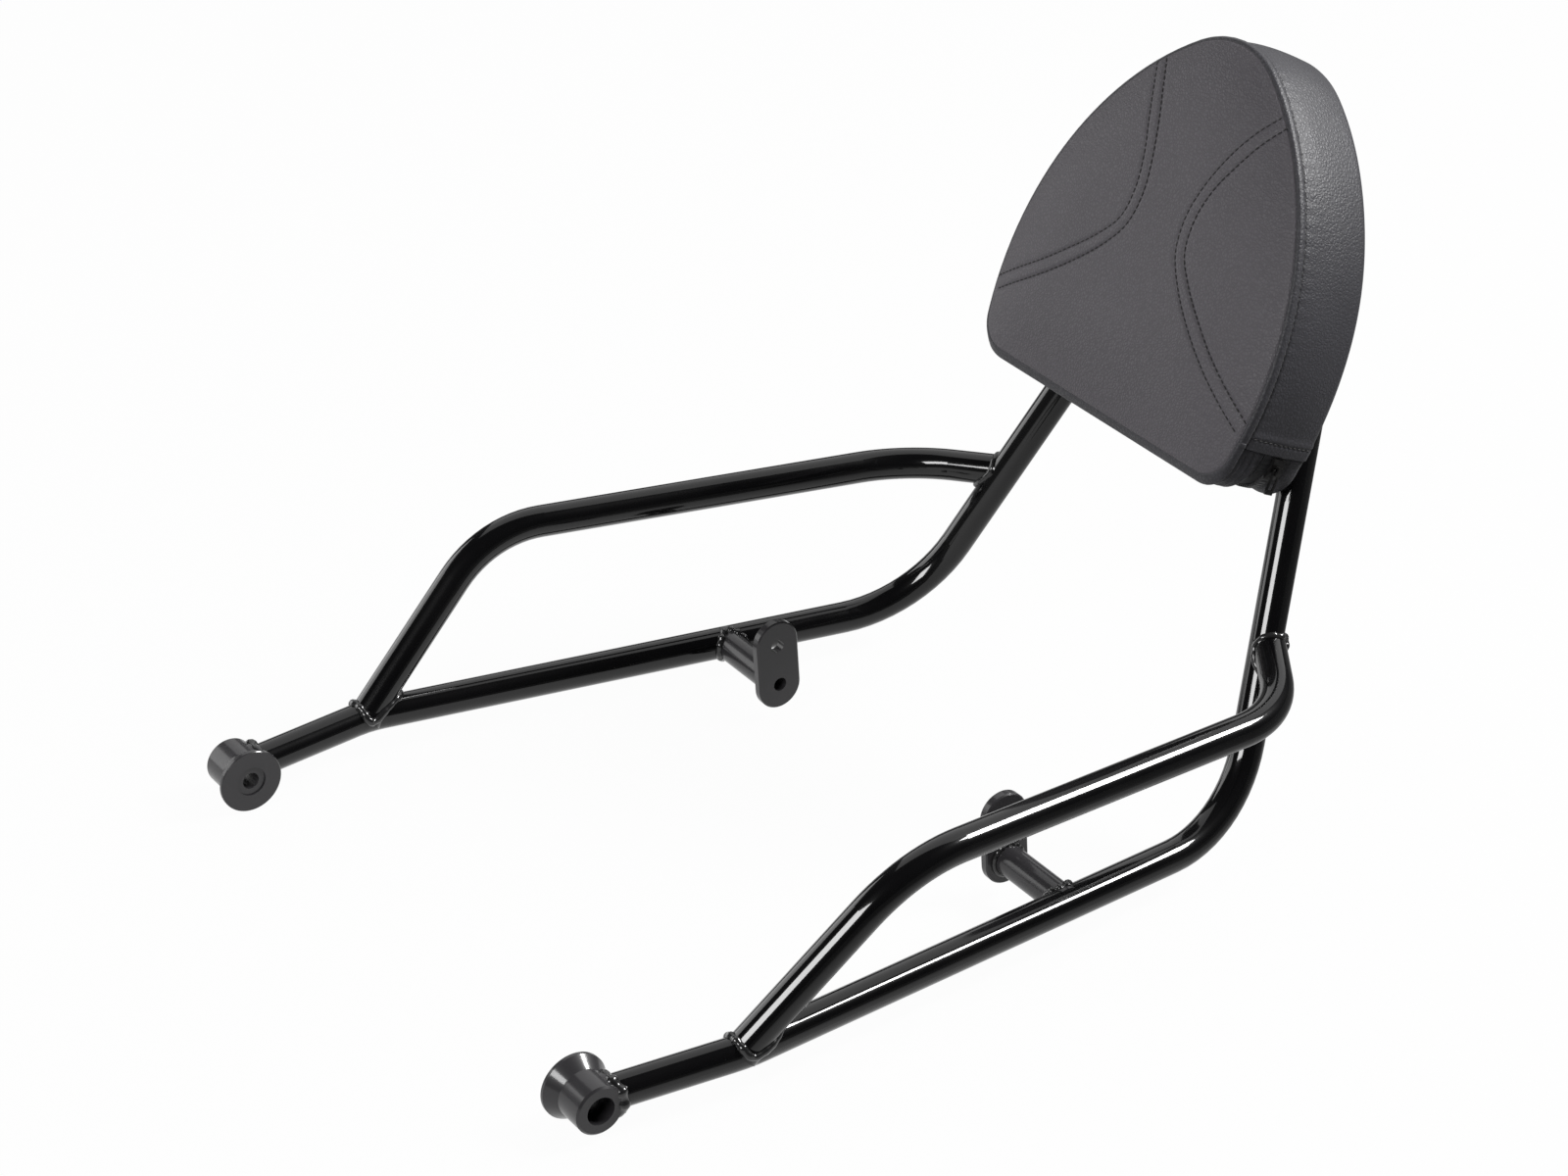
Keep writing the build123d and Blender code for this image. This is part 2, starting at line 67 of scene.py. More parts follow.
studio = {
    "centre": (0.05, 0.35, 0.10),
    "floorLevel": -0.021,
    "floorReach": 12.0,
    "floorSides": 96,
    "rimHeight": 1.7,
    "floorWhite": 0.97,
    "floorMatt": 0.33,
    "paleAt": (-0.45, -0.35, 0.0),
    "dimFrom": 0.65,
    "dimTo": 1.45,
    "dimmest": 0.12,
    "world": (0.04, 0.04, 0.0416, 1.0),
    # direction from the object, distance, width, height, brightness
    "lamps": {
        "keyBox": ((0.27, 0.67, 0.69), 2.6, 0.8, 0.7, 76.0),
        "frontBox": ((0.225, -0.828, 0.515), 2.6, 1.35, 0.7, 19.0),
        "ceilingFill": ((-0.52, 0.42, 0.74), 3.2, 4.0, 4.0, 1.05),
        "leftFill": ((-0.86, -0.47, 0.22), 2.8, 2.0, 1.6, 2.8),
    },
}


def hangLamps():
    for name, (aim, far, wide, high, bright) in studio["lamps"].items():
        data = bpy.data.lights.new(name, "AREA")
        data.shape = "RECTANGLE"
        data.size = wide
        data.size_y = high
        data.energy = bright * math.pi * wide * high
        lamp = bpy.data.objects.new(name, data)
        scene.collection.objects.link(lamp)
        away = Vector(aim).normalized()
        lamp.location = Vector(studio["centre"]) + away * far
        lamp.rotation_euler = away.to_track_quat("Z", "Y").to_euler()
        lamp.visible_camera = False
    world = bpy.data.worlds.new("studioWorld")
    world.use_nodes = True
    world.node_tree.nodes["Background"].inputs["Color"].default_value = studio["world"]
    scene.world = world
    print("lamps hung")


# a node's output, which can be reckoned with like a number
class Wire:
    def __init__(self, tree, socket):
        self.tree = tree
        self.socket = socket

    # out is the number of the new node's output
    def make(self, kind, settings, sockets, out=0):
        node = self.tree.nodes.new(kind)
        for name, value in settings.items():
            setattr(node, name, value)
        for name, value in sockets.items():
            if isinstance(value, Wire):
                self.tree.links.new(value.socket, node.inputs[name])
            else:
                node.inputs[name].default_value = value
        return Wire(self.tree, node.outputs[out])

    def maths(self, operation, first, second):
        return self.make("ShaderNodeMath", {"operation": operation}, {0: first, 1: second})

    def __add__(self, other):
        return self.maths("ADD", self, other)

    def __radd__(self, other):
        return self.maths("ADD", other, self)

    def __sub__(self, other):
        return self.maths("SUBTRACT", self, other)

    def __rsub__(self, other):
        return self.maths("SUBTRACT", other, self)

    def __mul__(self, other):
        return self.maths("MULTIPLY", self, other)

    def __rmul__(self, other):
        return self.maths("MULTIPLY", other, self)

    def ramp(self, low, high):
        return self.make("ShaderNodeMapRange", {"interpolation_type": "SMOOTHSTEP"},
                         {"Value": self, "From Min": low, "From Max": high})

    def tint(self, dark, pale):
        return self.make("ShaderNodeMix", {"data_type": "RGBA"},
                         {"Factor": self, 6: dark + (1.0,), 7: pale + (1.0,)}, 2)

    def noise(self, scale, detail=3.0, rough=0.5):
        return self.make("ShaderNodeTexNoise", {},
                         {"Vector": self, "Scale": scale, "Detail": detail, "Roughness": rough})

    def cells(self, scale, feature="F1"):
        return self.make("ShaderNodeTexVoronoi", {"feature": feature}, {"Vector": self, "Scale": scale})

    def wave(self, direction, scale, distortion=0.0):
        return self.make("ShaderNodeTexWave", {"bands_direction": direction},
                         {"Vector": self, "Scale": scale, "Distortion": distortion}, 1)

    def stretch(self, scale):
        return self.make("ShaderNodeMapping", {}, {"Vector": self, "Scale": scale})


def newFinish(name):
    finish = bpy.data.materials.new(name)
    finish.use_nodes = True
    tree = finish.node_tree
    coords = tree.nodes.new("ShaderNodeTexCoord")
    return finish, Wire(tree, coords.outputs["Object"]), tree.nodes["Principled BSDF"]


# reach and strength are those of the bump, plain holds other values of the shader
def setFinish(finish, shader, colour, rough, height, reach, strength, **plain):
    tree = finish.node_tree
    for name, value in (("Base Color", colour), ("Roughness", rough)):
        if isinstance(value, Wire):
            tree.links.new(value.socket, shader.inputs[name])
        else:
            shader.inputs[name].default_value = value
    bump = height.make("ShaderNodeBump", {}, {"Height": height, "Strength": strength, "Distance": reach})
    tree.links.new(bump.socket, shader.inputs["Normal"])
    for name, value in plain.items():
        shader.inputs[name.replace("_", " ")].default_value = value
    return finish


def glossCoat():
    finish, at, shader = newFinish("glossBlackCoat")
    peel = at.noise(scale=210.0, detail=2.0)
    cloud = at.noise(scale=23.0, detail=4.0)
    haze = at.noise(scale=300.0, detail=3.0)
    colour = cloud.tint(dark=(0.001, 0.001, 0.0012), pale=(0.0025, 0.0024, 0.0026))
    rough = 0.26 + 0.10 * cloud.ramp(low=0.35, high=0.75) + 0.03 * haze
    return setFinish(finish, shader, colour, rough, peel, reach=0.0004, strength=0.03, IOR=1.1,
                     Coat_Weight=0.85, Coat_Roughness=0.075, Coat_IOR=1.5)


def weldCoat():
    finish, at, shader = newFinish("weldBlackCoat")
    grit = at.noise(scale=700.0, detail=4.0)
    cloud = at.noise(scale=60.0)
    colour = cloud.tint(dark=(0.004, 0.004, 0.0045), pale=(0.010, 0.010, 0.010))
    return setFinish(finish, shader, colour, 0.30 + 0.12 * grit, grit, reach=0.0005, strength=0.08, IOR=1.25,
                     Coat_Weight=0.85, Coat_Roughness=0.07, Coat_IOR=1.5)


def satinCoat():
    finish, at, shader = newFinish("satinBlackCoat")
    grit = at.noise(scale=650.0, detail=5.0, rough=0.6)
    cloud = at.noise(scale=45.0, detail=4.0)
    colour = cloud.tint(dark=(0.013, 0.0125, 0.0138), pale=(0.022, 0.021, 0.0227))
    rough = 0.34 + 0.12 * cloud + 0.05 * grit
    return setFinish(finish, shader, colour, rough, grit, reach=0.0005, strength=0.08, IOR=1.22,
                     Coat_Weight=0.62, Coat_Roughness=0.15, Coat_IOR=1.5)


# small cells whose edges wander, with fine pores between them
def leatherette(name, dark, pale, grainScale, grainDepth):
    finish, at, shader = newFinish(name)
    drift = at.make("ShaderNodeTexNoise", {}, {"Vector": at, "Scale": 420.0, "Detail": 2.0}, 1)
    wander = at.make("ShaderNodeVectorMath", {"operation": "MULTIPLY_ADD"},
                     {0: drift, 1: (0.0012, 0.0012, 0.0012), 2: at})
    crease = wander.cells(grainScale, "DISTANCE_TO_EDGE").ramp(low=0.0, high=0.32)
    fine = at.noise(scale=2300.0, detail=3.0)
    cloud = at.noise(scale=16.0, detail=4.0)
    height = crease * 0.75 + fine * 0.25
    colour = (cloud * 0.55 + crease * 0.45).tint(dark, pale)
    rough = 0.50 + 0.10 * cloud - 0.10 * crease
    return setFinish(finish, shader, colour, rough, height, reach=0.0004, strength=grainDepth, IOR=1.37,
                     Sheen_Weight=0.03, Sheen_Roughness=0.5)


def blackThread():
    finish, at, shader = newFinish("blackThread")
    twist = at.noise(scale=2600.0, detail=2.0)
    colour = twist.tint(dark=(0.006, 0.006, 0.006), pale=(0.020, 0.019, 0.019))
    return setFinish(finish, shader, colour, 0.55 + 0.2 * twist, twist, reach=0.0004, strength=0.4, IOR=1.45)


def zipTape():
    finish, at, shader = newFinish("zipTapeWeave")
    warp = at.wave("X", scale=520.0, distortion=0.6)
    weft = at.wave("Z", scale=480.0, distortion=0.6)
    weave = warp * 0.5 + weft * 0.5
    colour = weave.tint(dark=(0.008, 0.008, 0.009), pale=(0.024, 0.024, 0.026))
    return setFinish(finish, shader, colour, 0.8 - 0.1 * weave, weave, reach=0.0003, strength=0.6, IOR=1.45)


def zipTeeth():
    finish, at, shader = newFinish("zipTeethPlastic")
    ribs = at.wave("X", scale=190.0)
    colour = ribs.tint(dark=(0.006, 0.006, 0.006), pale=(0.022, 0.022, 0.023))
    return setFinish(finish, shader, colour, 0.35 + 0.2 * ribs, ribs, reach=0.0006, strength=0.8, IOR=1.5)


def zipMetal():
    finish, at, shader = newFinish("zipDarkMetal")
    rub = at.noise(scale=260.0, detail=5.0, rough=0.65)
    scratch = at.noise(scale=900.0)
    colour = rub.tint(dark=(0.025, 0.025, 0.026), pale=(0.11, 0.108, 0.106))
    return setFinish(finish, shader, colour, 0.20 + 0.25 * rub, scratch, reach=0.0003, strength=0.15,
                     Metallic=1.0)


def zincSteel():
    finish, at, shader = newFinish("zincSteel")
    spangle = at.cells(330.0)
    cloud = at.noise(scale=70.0)
    scratch = at.noise(scale=1200.0)
    colour = cloud.tint(dark=(0.42, 0.42, 0.40), pale=(0.62, 0.61, 0.58))
    return setFinish(finish, shader, colour, 0.30 + 0.2 * spangle, scratch, reach=0.0003, strength=0.1,
                     Metallic=1.0)


def plywood():
    finish, at, shader = newFinish("plywoodBoard")
    grain = at.stretch((60.0, 900.0, 900.0)).noise(scale=1.0, detail=4.0)
    colour = grain.tint(dark=(0.30, 0.19, 0.10), pale=(0.58, 0.42, 0.26))
    return setFinish(finish, shader, colour, 0.65 + 0.1 * grain, grain, reach=0.0003, strength=0.2)


def softFoam():
    finish, at, shader = newFinish("openFoam")
    pores = at.cells(900.0)
    colour = pores.tint(dark=(0.13, 0.13, 0.135), pale=(0.27, 0.27, 0.28))
    return setFinish(finish, shader, colour, 0.9, pores, reach=0.0006, strength=0.6)


# white to the eye and matt to bounced light; in reflections it dims to the right and rear,
# as a sheet lit from the front left does
def studioWhite():
    finish = bpy.data.materials.new("studioWhite")
    finish.use_nodes = True
    tree = finish.node_tree
    tree.nodes.remove(tree.nodes["Principled BSDF"])
    path = tree.nodes.new("ShaderNodeLightPath")
    at = Wire(tree, tree.nodes.new("ShaderNodeTexCoord").outputs["Object"])
    mirrored = Wire(tree, path.outputs["Is Glossy Ray"])
    away = at.make("ShaderNodeVectorMath", {"operation": "DISTANCE"}, {0: at, 1: studio["paleAt"]}, 1)
    dim = mirrored * away.ramp(studio["dimFrom"], studio["dimTo"])
    tone = dim.tint((1.0, 1.0, 1.0), (studio["dimmest"],) * 3)
    seen = Wire(tree, path.outputs["Is Camera Ray"]) + mirrored
    seen = (seen + Wire(tree, path.outputs["Is Transmission Ray"])) * studio["floorWhite"]
    matt = seen.make("ShaderNodeBsdfDiffuse", {}, {"Color": (studio["floorMatt"],) * 3 + (1.0,)})
    glow = seen.make("ShaderNodeEmission", {}, {"Color": tone, "Strength": 1.0})
    both = seen.make("ShaderNodeMixShader", {}, {0: seen, 1: matt, 2: glow})
    tree.links.new(both.socket, tree.nodes["Material Output"].inputs["Surface"])
    return finish


def layFloor():
    sides, reach, low, rise = (studio[k] for k in ("floorSides", "floorReach", "floorLevel", "rimHeight"))
    bpy.ops.mesh.primitive_cylinder_add(vertices=sides, radius=reach, depth=rise, end_fill_type="NOTHING",
                                        location=(0.0, 0.0, low + rise / 2.0))
    rim = bpy.context.object
    bpy.ops.mesh.primitive_circle_add(vertices=sides, radius=reach, fill_type="NGON", location=(0.0, 0.0, low))
    floor = bpy.context.object
    floor.name = "studioFloor"
    bpy.ops.object.select_all(action="DESELECT")
    rim.select_set(True)
    floor.select_set(True)
    bpy.ops.object.join()
    floor.data.materials.append(studioWhite())
    print("floor laid")


# finishes, and the CAD nodes that wear them
finishes = {
    "gloss": glossCoat(),
    "weld": weldCoat(),
    "satin": satinCoat(),
    "front": leatherette("padFrontLeatherette", dark=(0.044, 0.0405, 0.046), pale=(0.072, 0.067, 0.0755),
                         grainScale=480.0, grainDepth=0.5),
    # the band, gussets and back wear a darker copy of the front's leatherette: its darker colour is painted shade
    # on the sides of the cover
    "band": leatherette("padBandShadedLeatherette", dark=(0.015, 0.0145, 0.017), pale=(0.031, 0.0305, 0.036),
                        grainScale=430.0, grainDepth=0.42),
    "thread": blackThread(),
    "tape": zipTape(),
    "teeth": zipTeeth(),
    "zipMetal": zipMetal(),
    "zinc": zincSteel(),
    "plywood": plywood(),
    "foam": softFoam(),
}
nodeFinish = {
    "gloss": ("loop_tube", "handrail_right", "handrail_left"),
    "satin": ("front_boss_right", "front_boss_left", "rear_plate_right", "rear_plate_left", "plate_stub_right",
              "plate_stub_left", "pad_strap_lower", "pad_strap_upper"),
    "zinc": ("pad_screws", "pad_washers", "tee_nuts"),
    "plywood": ("pad_board",),
    "foam": ("pad_foam",),
    "tape": ("zip_tape_front", "zip_tape_rear"),
    "teeth": ("zip_chain",),
    "zipMetal": ("zip_slider", "zip_pull"),
    "band": ("side_band", "gusset_front", "gusset_rear", "back_panel"),
    "front": ("front_panel_middle", "front_panel_right", "front_panel_left"),
}


def dressNodes():
    for key, names in nodeFinish.items():
        for name in names:
            for slot in bpy.data.objects[name].material_slots:
                slot.material = finishes[key]
    print("nodes dressed")


# pad outline, in mm in the leaning frame: u across, v up the lean, n forwards
pad = {
    "lean": math.radians(22.9),
    "halfWidth": 123.6,
    "bottom": 378.44,
    "wideUp": 59.4,
    "sideRadius": 198.0,
    "topRadius": 63.0,
    "cornerRadius": 22.0,
    "back": -414.993,
    "front": -353.993,
    "deep": 61.0,
    "middle": 489.0,
    "hemUp": 26.6,
    "zipNear": 25.0,
    "zipFar": 47.0,
}
wideAt = pad["bottom"] + pad["wideUp"]
sideU = pad["halfWidth"] - pad["sideRadius"]
cornerV = pad["bottom"] + pad["cornerRadius"]
cornerU = sideU + math.sqrt((pad["sideRadius"] - pad["cornerRadius"]) ** 2 - (cornerV - wideAt) ** 2)
topV = wideAt + math.sqrt((pad["sideRadius"] - pad["topRadius"]) ** 2 - sideU ** 2)
sideLow = math.atan2(cornerV - wideAt, cornerU - sideU)
sideHigh = math.atan2(topV - wideAt, -sideU)
edgeArcs = (
    (cornerU, cornerV, pad["cornerRadius"], -math.pi / 2, sideLow),
    (sideU, wideAt, pad["sideRadius"], sideLow, sideHigh),
    (0.0, topV, pad["topRadius"], sideHigh, math.pi - sideHigh),
    (-sideU, wideAt, pad["sideRadius"], math.pi - sideHigh, math.pi - sideLow),
    (-cornerU, cornerV, pad["cornerRadius"], math.pi - sideLow, 1.5 * math.pi),
)
edgeLength = 2 * cornerU + sum(r * (b - a) for cu, cv, r, a, b in edgeArcs)
hemAngle = math.asin((pad["bottom"] + pad["hemUp"] - wideAt) / pad["sideRadius"])
hemAt = cornerU + pad["cornerRadius"] * (sideLow + math.pi / 2) + pad["sideRadius"] * (hemAngle - sideLow)


def padMm(u, v, n):
    u, v, n = np.broadcast_arrays(u, v, n)
    s, c = math.sin(pad["lean"]), math.cos(pad["lean"])
    return np.stack((u, v * s - n * c, v * c + n * s), axis=-1)


def padPlace(u, v, n):
    return padMm(u, v, n) / 1000.0


# lengths along the edge, evenly spaced once round
def evenRuns(count):
    return np.arange(count) * edgeLength / count


# point and outward direction at a length along the edge, from the middle of the bottom towards the right
def padEdge(run):
    run = np.mod(np.asarray(run, dtype=float), edgeLength)
    u = np.where(run < cornerU, run, run - edgeLength)
    v = np.full(run.shape, pad["bottom"])
    angle = np.full(run.shape, -math.pi / 2)
    start = cornerU
    for cu, cv, radius, low, high in edgeArcs:
        stop = start + radius * (high - low)
        on = (run >= start) & (run < stop)
        turn = low + (run - start) / radius
        u = np.where(on, cu + radius * np.cos(turn), u)
        v = np.where(on, cv + radius * np.sin(turn), v)
        angle = np.where(on, turn, angle)
        start = stop
    return u, v, np.cos(angle), np.sin(angle)


def smooth(x, low, high):
    x = np.clip((x - low) / (high - low), 0.0, 1.0)
    return x * x * (3.0 - 2.0 * x)


def dip(x, at, width):
    return np.exp(-((x - at) / width) ** 2)


def unit(rows):
    return rows / np.linalg.norm(rows, axis=-1, keepdims=True)


# shares of four neighbours in a smooth reading of a table
def splineWeights(t):
    first, last = (1 - t) ** 3 / 6, t ** 3 / 6
    return first, (3 * t ** 3 - 6 * t ** 2 + 4) / 6, (-3 * t ** 3 + 3 * t ** 2 + 3 * t + 1) / 6, last


# a table read at fractional rows and columns
def readTable(table, row, column, around):
    row, column = np.broadcast_arrays(row, column)
    rows, columns = table.shape
    i, j = np.floor(row).astype(int), np.floor(column).astype(int)
    total = np.zeros(row.shape)
    for a, rowShare in enumerate(splineWeights(row - i)):
        near = np.clip(i + a - 1, 0, rows - 1)
        for b, columnShare in enumerate(splineWeights(column - j)):
            beside = (j + b - 1) % columns if around else np.clip(j + b - 1, 0, columns - 1)
            total = total + rowShare * columnShare * table[near, beside]
    return total


# crown of the front: a cushion held down along its edge, settled on a square grid
crown = {
    "reach": 18.0,
    "rise": 9.2,
    "step": 2.5,
    "left": -140.0,
    "right": 140.1,
    "low": 355.0,
    "high": 640.1,
    "edgePoints": 1200,
    "lowest": -8.0,
    "rounds": 600,
}


def settleCrown():
    rise, reach, step = crown["rise"], crown["reach"], crown["step"]
    u, v = np.meshgrid(np.arange(crown["left"], crown["right"], step),
                       np.arange(crown["low"], crown["high"], step), indexing="ij")
    eu, ev, du, dv = padEdge(evenRuns(crown["edgePoints"]))
    inside = np.empty(u.shape)
    for i in range(len(u)):
        k = np.argmin((u[i][:, None] - eu) ** 2 + (v[i][:, None] - ev) ** 2, axis=1)
        inside[i] = (eu[k] - u[i]) * du[k] + (ev[k] - v[i]) * dv[k]
    held = np.maximum(rise * inside / reach, crown["lowest"])
    height = np.where(inside > 0.0, rise * (1.0 - np.exp(-np.maximum(inside, 0.0) / reach)), held)
    pull = (step / reach) ** 2
    for repeat in range(crown["rounds"]):
        beside = np.roll(height, 1, 0) + np.roll(height, -1, 0) + np.roll(height, 1, 1) + np.roll(height, -1, 1)
        height = np.where(inside > 0.0, (beside + pull * rise) / (4.0 + pull), held)
    return height


crownTable = settleCrown()


def crownHeight(u, v):
    row, column = (u - crown["left"]) / crown["step"], (v - crown["low"]) / crown["step"]
    return readTable(crownTable, row, column, False)


def frontPlace(run, share):
    u, v, du, dv = padEdge(run)
    inside = (1.0 - share) * (u * du + (v - pad["middle"]) * dv)
    return u * share, pad["middle"] + (v - pad["middle"]) * share, inside


# how far the band stands out of the outline, by the depth behind the front seam:
# a roll beside the seam, a belly and a rounded back
profile = {
    "bellyFrom": 6.5,
    "bellyDeep": 47.0,
    "bellyLean": 0.4,
    "bellyOut": 1.2,
    "rollDeep": 6.4,
    "rollOut": 1.3,
    "rollPower": 0.6,
    # size, depth and width of the grooves
    "grooves": ((0.7, 0.0, 0.6), (0.55, 6.7, 0.65)),
    "turnFrom": 53.5,
    "turnDeep": 7.5,
    "turnIn": 6.5,
    "turnShare": 0.985,
}


def bandOut(depth):
    x = np.clip((depth - profile["bellyFrom"]) / profile["bellyDeep"], 0.0, 1.0)
    out = profile["bellyLean"] * x + profile["bellyOut"] * 4.0 * x * (1.0 - x)
    roll = np.sin(math.pi * np.clip(depth / profile["rollDeep"], 0.0, 1.0))
    out = out + profile["rollOut"] * roll ** profile["rollPower"]
    for size, at, width in profile["grooves"]:
        out = out - size * dip(depth, at, width)
    y = np.clip((depth - profile["turnFrom"]) / profile["turnDeep"], 0.0, 1.0)
    return out - profile["turnIn"] * (1.0 - np.sqrt(1.0 - y * y * profile["turnShare"]))


# faces between closed rings of points
def gridFaces(rings, around):
    faces = []
    for i in range(rings - 1):
        for j in range(around):
            k = (j + 1) % around
            faces.append((i * around + j, i * around + k, (i + 1) * around + k, (i + 1) * around + j))
    return faces


# the two rings at the ends of a grid, as faces
def capFaces(rings, around):
    return [tuple(range(around)), tuple((rings - 1) * around + j for j in range(around))]


def faceOutward(piece):
    bpy.ops.object.select_all(action="DESELECT")
    piece.select_set(True)
    bpy.context.view_layer.objects.active = piece
    bpy.ops.object.mode_set(mode="EDIT")
    bpy.ops.mesh.select_all(action="SELECT")
    bpy.ops.mesh.normals_make_consistent(inside=False)
    bpy.ops.object.mode_set(mode="OBJECT")
    bpy.ops.object.shade_smooth()


def newPiece(name, points, faces, finish):
    mesh = bpy.data.meshes.new(name)
    mesh.from_pydata([tuple(p) for p in points], [], faces)
    mesh.update()
    piece = bpy.data.objects.new(name, mesh)
    scene.collection.objects.link(piece)
    faceOutward(piece)
    mesh.materials.append(finish)
    return piece


# a coarse closed cover is blown up between its seams as cloth, and the swelling is read back
swell = {
    "around": 120,
    "front": 14,
    "band": 9,
    "hub": 0.06,
    "crownShare": 0.9,
    "flatTo": 7.0,
    "pressure": 5.0,
    "mass": 0.01,
    "tension": 15.0,
    "bending": 0.01,
    "quality": 6,
    "frames": 20,
    "cap": 3.0,
    "evenTo": (0.05, 0.6),
    "calmAround": 60,
    "calmAcross": 4,
    "wrinkle": 0.06,
}


def runCloth(cover):
    cloth = cover.modifiers.new("swell", "CLOTH")
    cloth.settings.vertex_group_mass = "seams"
    cloth.settings.use_pressure = True
    cloth.settings.uniform_pressure_force = swell["pressure"]
    cloth.settings.effector_weights.gravity = 0.0
    cloth.settings.mass = swell["mass"]
    cloth.settings.tension_stiffness = swell["tension"]
    cloth.settings.compression_stiffness = swell["tension"]
    cloth.settings.bending_stiffness = swell["bending"]
    cloth.settings.quality = swell["quality"]
    cloth.point_cache.frame_end = swell["frames"]
    for step in range(1, swell["frames"] + 1):
        scene.frame_set(step)
    ready = cover.evaluated_get(bpy.context.evaluated_depsgraph_get())
    blown = np.array([v.co[:] for v in ready.data.vertices])
    scene.frame_set(1)
    return blown


# the cover lies on firm foam, so only a little of the wrinkling is kept
def calm(table):
    level = table
    for repeat in range(swell["calmAround"]):
        level = (np.roll(level, 1, axis=1) + 2.0 * level + np.roll(level, -1, axis=1)) / 4.0
    for repeat in range(swell["calmAcross"]):
        padded = np.concatenate((level[:1], level, level[-1:]))
        level = (padded[:-2] + 2.0 * level + padded[2:]) / 4.0
    return level + swell["wrinkle"] * (table - level)


# swelling of the front forwards and of the band outwards, in mm, by share or depth and by length along the edge
def blowUp():
    around = swell["around"]
    run = evenRuns(around)
    eu, ev, du, dv = padEdge(run)
    shares = np.linspace(swell["hub"], 1.0, swell["front"])
    depths = np.linspace(0.0, pad["deep"], swell["band"])
    rings = []
    for share in shares:
        u, v, inside = frontPlace(run, share)
        rings.append(padPlace(u, v, pad["front"] + crownHeight(u, v) * swell["crownShare"]))
    for depth in depths[1:]:
        out = bandOut(np.array(depth)) if depth > swell["flatTo"] else 0.0
        rings.append(padPlace(eu + du * out, ev + dv * out, pad["front"] - depth))
    count, seam = len(rings), swell["front"] - 1
    start = np.concatenate(rings)
    faces = gridFaces(count, around) + capFaces(count, around)
    cover = newPiece("clothCover", start, faces, finishes["band"])
    held = cover.vertex_groups.new(name="seams")
    for ring in (seam, count - 1):
        held.add([ring * around + j for j in range(around)], 1.0, "REPLACE")
    blown = runCloth(cover)
    bpy.data.objects.remove(cover)
    move = (blown - start) * 1000.0
    size = np.linalg.norm(move, axis=1, keepdims=True)
    move = move * np.minimum(1.0, swell["cap"] / np.maximum(size, 1e-6))
    s, c = math.sin(pad["lean"]), math.cos(pad["lean"])
    ahead = (-move[:, 1] * c + move[:, 2] * s).reshape(count, around)
    upward = (move[:, 1] * s + move[:, 2] * c).reshape(count, around)
    outward = move[:, 0].reshape(count, around) * du + upward * dv
    ahead[:seam], outward[seam:] = calm(ahead[:seam]), calm(outward[seam:])
    level = ahead[:seam].mean(axis=1, keepdims=True)
    ahead[:seam] = level + (ahead[:seam] - level) * smooth(shares[:seam, None], *swell["evenTo"])
    print("cloth swelling, mm: front", round(float(ahead[:seam].min()), 2), round(float(ahead[:seam].max()), 2),
          "band", round(float(outward[seam:].min()), 2), round(float(outward[seam:].max()), 2))
    return shares, ahead[:seam + 1], depths, outward[seam:]


# the swelling at any length along the edge and any share or depth
def readSwell(levels, table, run, level):
    run, level = np.broadcast_arrays(run, level)
    return readTable(table, np.interp(level, levels, np.arange(len(levels))),
                     np.mod(run, edgeLength) / edgeLength * swell["around"], True)


# twin rows of stitching on the right half of the pad front, in u and v
twinSeam = {
    "outer": ((62.5, 583.5), (50.5, 566.0), (39.2, 545.0), (32.4, 529.7), (28.4, 510.0), (31.2, 490.0),
              (45.0, 473.5), (64.6, 457.0), (86.0, 441.0), (122.0, 418.6)),
    "inner": ((55.8, 587.6), (43.7, 571.0), (33.0, 552.0), (24.6, 530.0), (20.6, 509.0), (23.8, 488.0),
              (36.8, 470.0), (56.6, 452.0), (82.0, 433.0), (117.0, 411.5)),
    "points": 400,
    "perSpan": 40,
    "groove": 0.95,
    "grooveLeast": 0.35,
    "grooveFrom": (1.0, 6.0),
    "grooveWide": 1.15,
    "lift": 0.35,
    "liftFrom": (0.5, 5.0),
    "stripWide": (8.0, 10.5),
}


# a smooth row through the points, evenly spaced, and its length
def smoothRow(points):
    points = np.array(points)
    closed = np.concatenate((points[:1] * 2 - points[1:2], points, points[-1:] * 2 - points[-2:-1]))
    t = np.linspace(0.0, 1.0, twinSeam["perSpan"], endpoint=False)[:, None]
    rows = []
    for k in range(1, len(closed) - 2):
        a, b, c, d = closed[k - 1:k + 3]
        rows.append(0.5 * (2 * b + (c - a) * t + (2 * a - 5 * b + 4 * c - d) * t ** 2
                           + (3 * b - a - 3 * c + d) * t ** 3))
    line = np.concatenate(rows + [points[-1:]])
    along = np.concatenate(([0.0], np.cumsum(np.linalg.norm(np.diff(line, axis=0), axis=1))))
    even = np.linspace(0.0, along[-1], twinSeam["points"])
    return np.stack((np.interp(even, along, line[:, 0]), np.interp(even, along, line[:, 1])), axis=1), along[-1]


# distance to the nearest point of a row, reckoned in parts to save memory
def nearest(u, v, line, parts=20):
    flat = np.stack((np.ravel(u), np.ravel(v)), axis=1)
    best = np.full(len(flat), np.inf)
    for part in np.array_split(line, parts):
        gap = np.linalg.norm(flat[:, None, :] - part[None, :, :], axis=2).min(axis=1)
        best = np.minimum(best, gap)
    return best.reshape(np.shape(u))


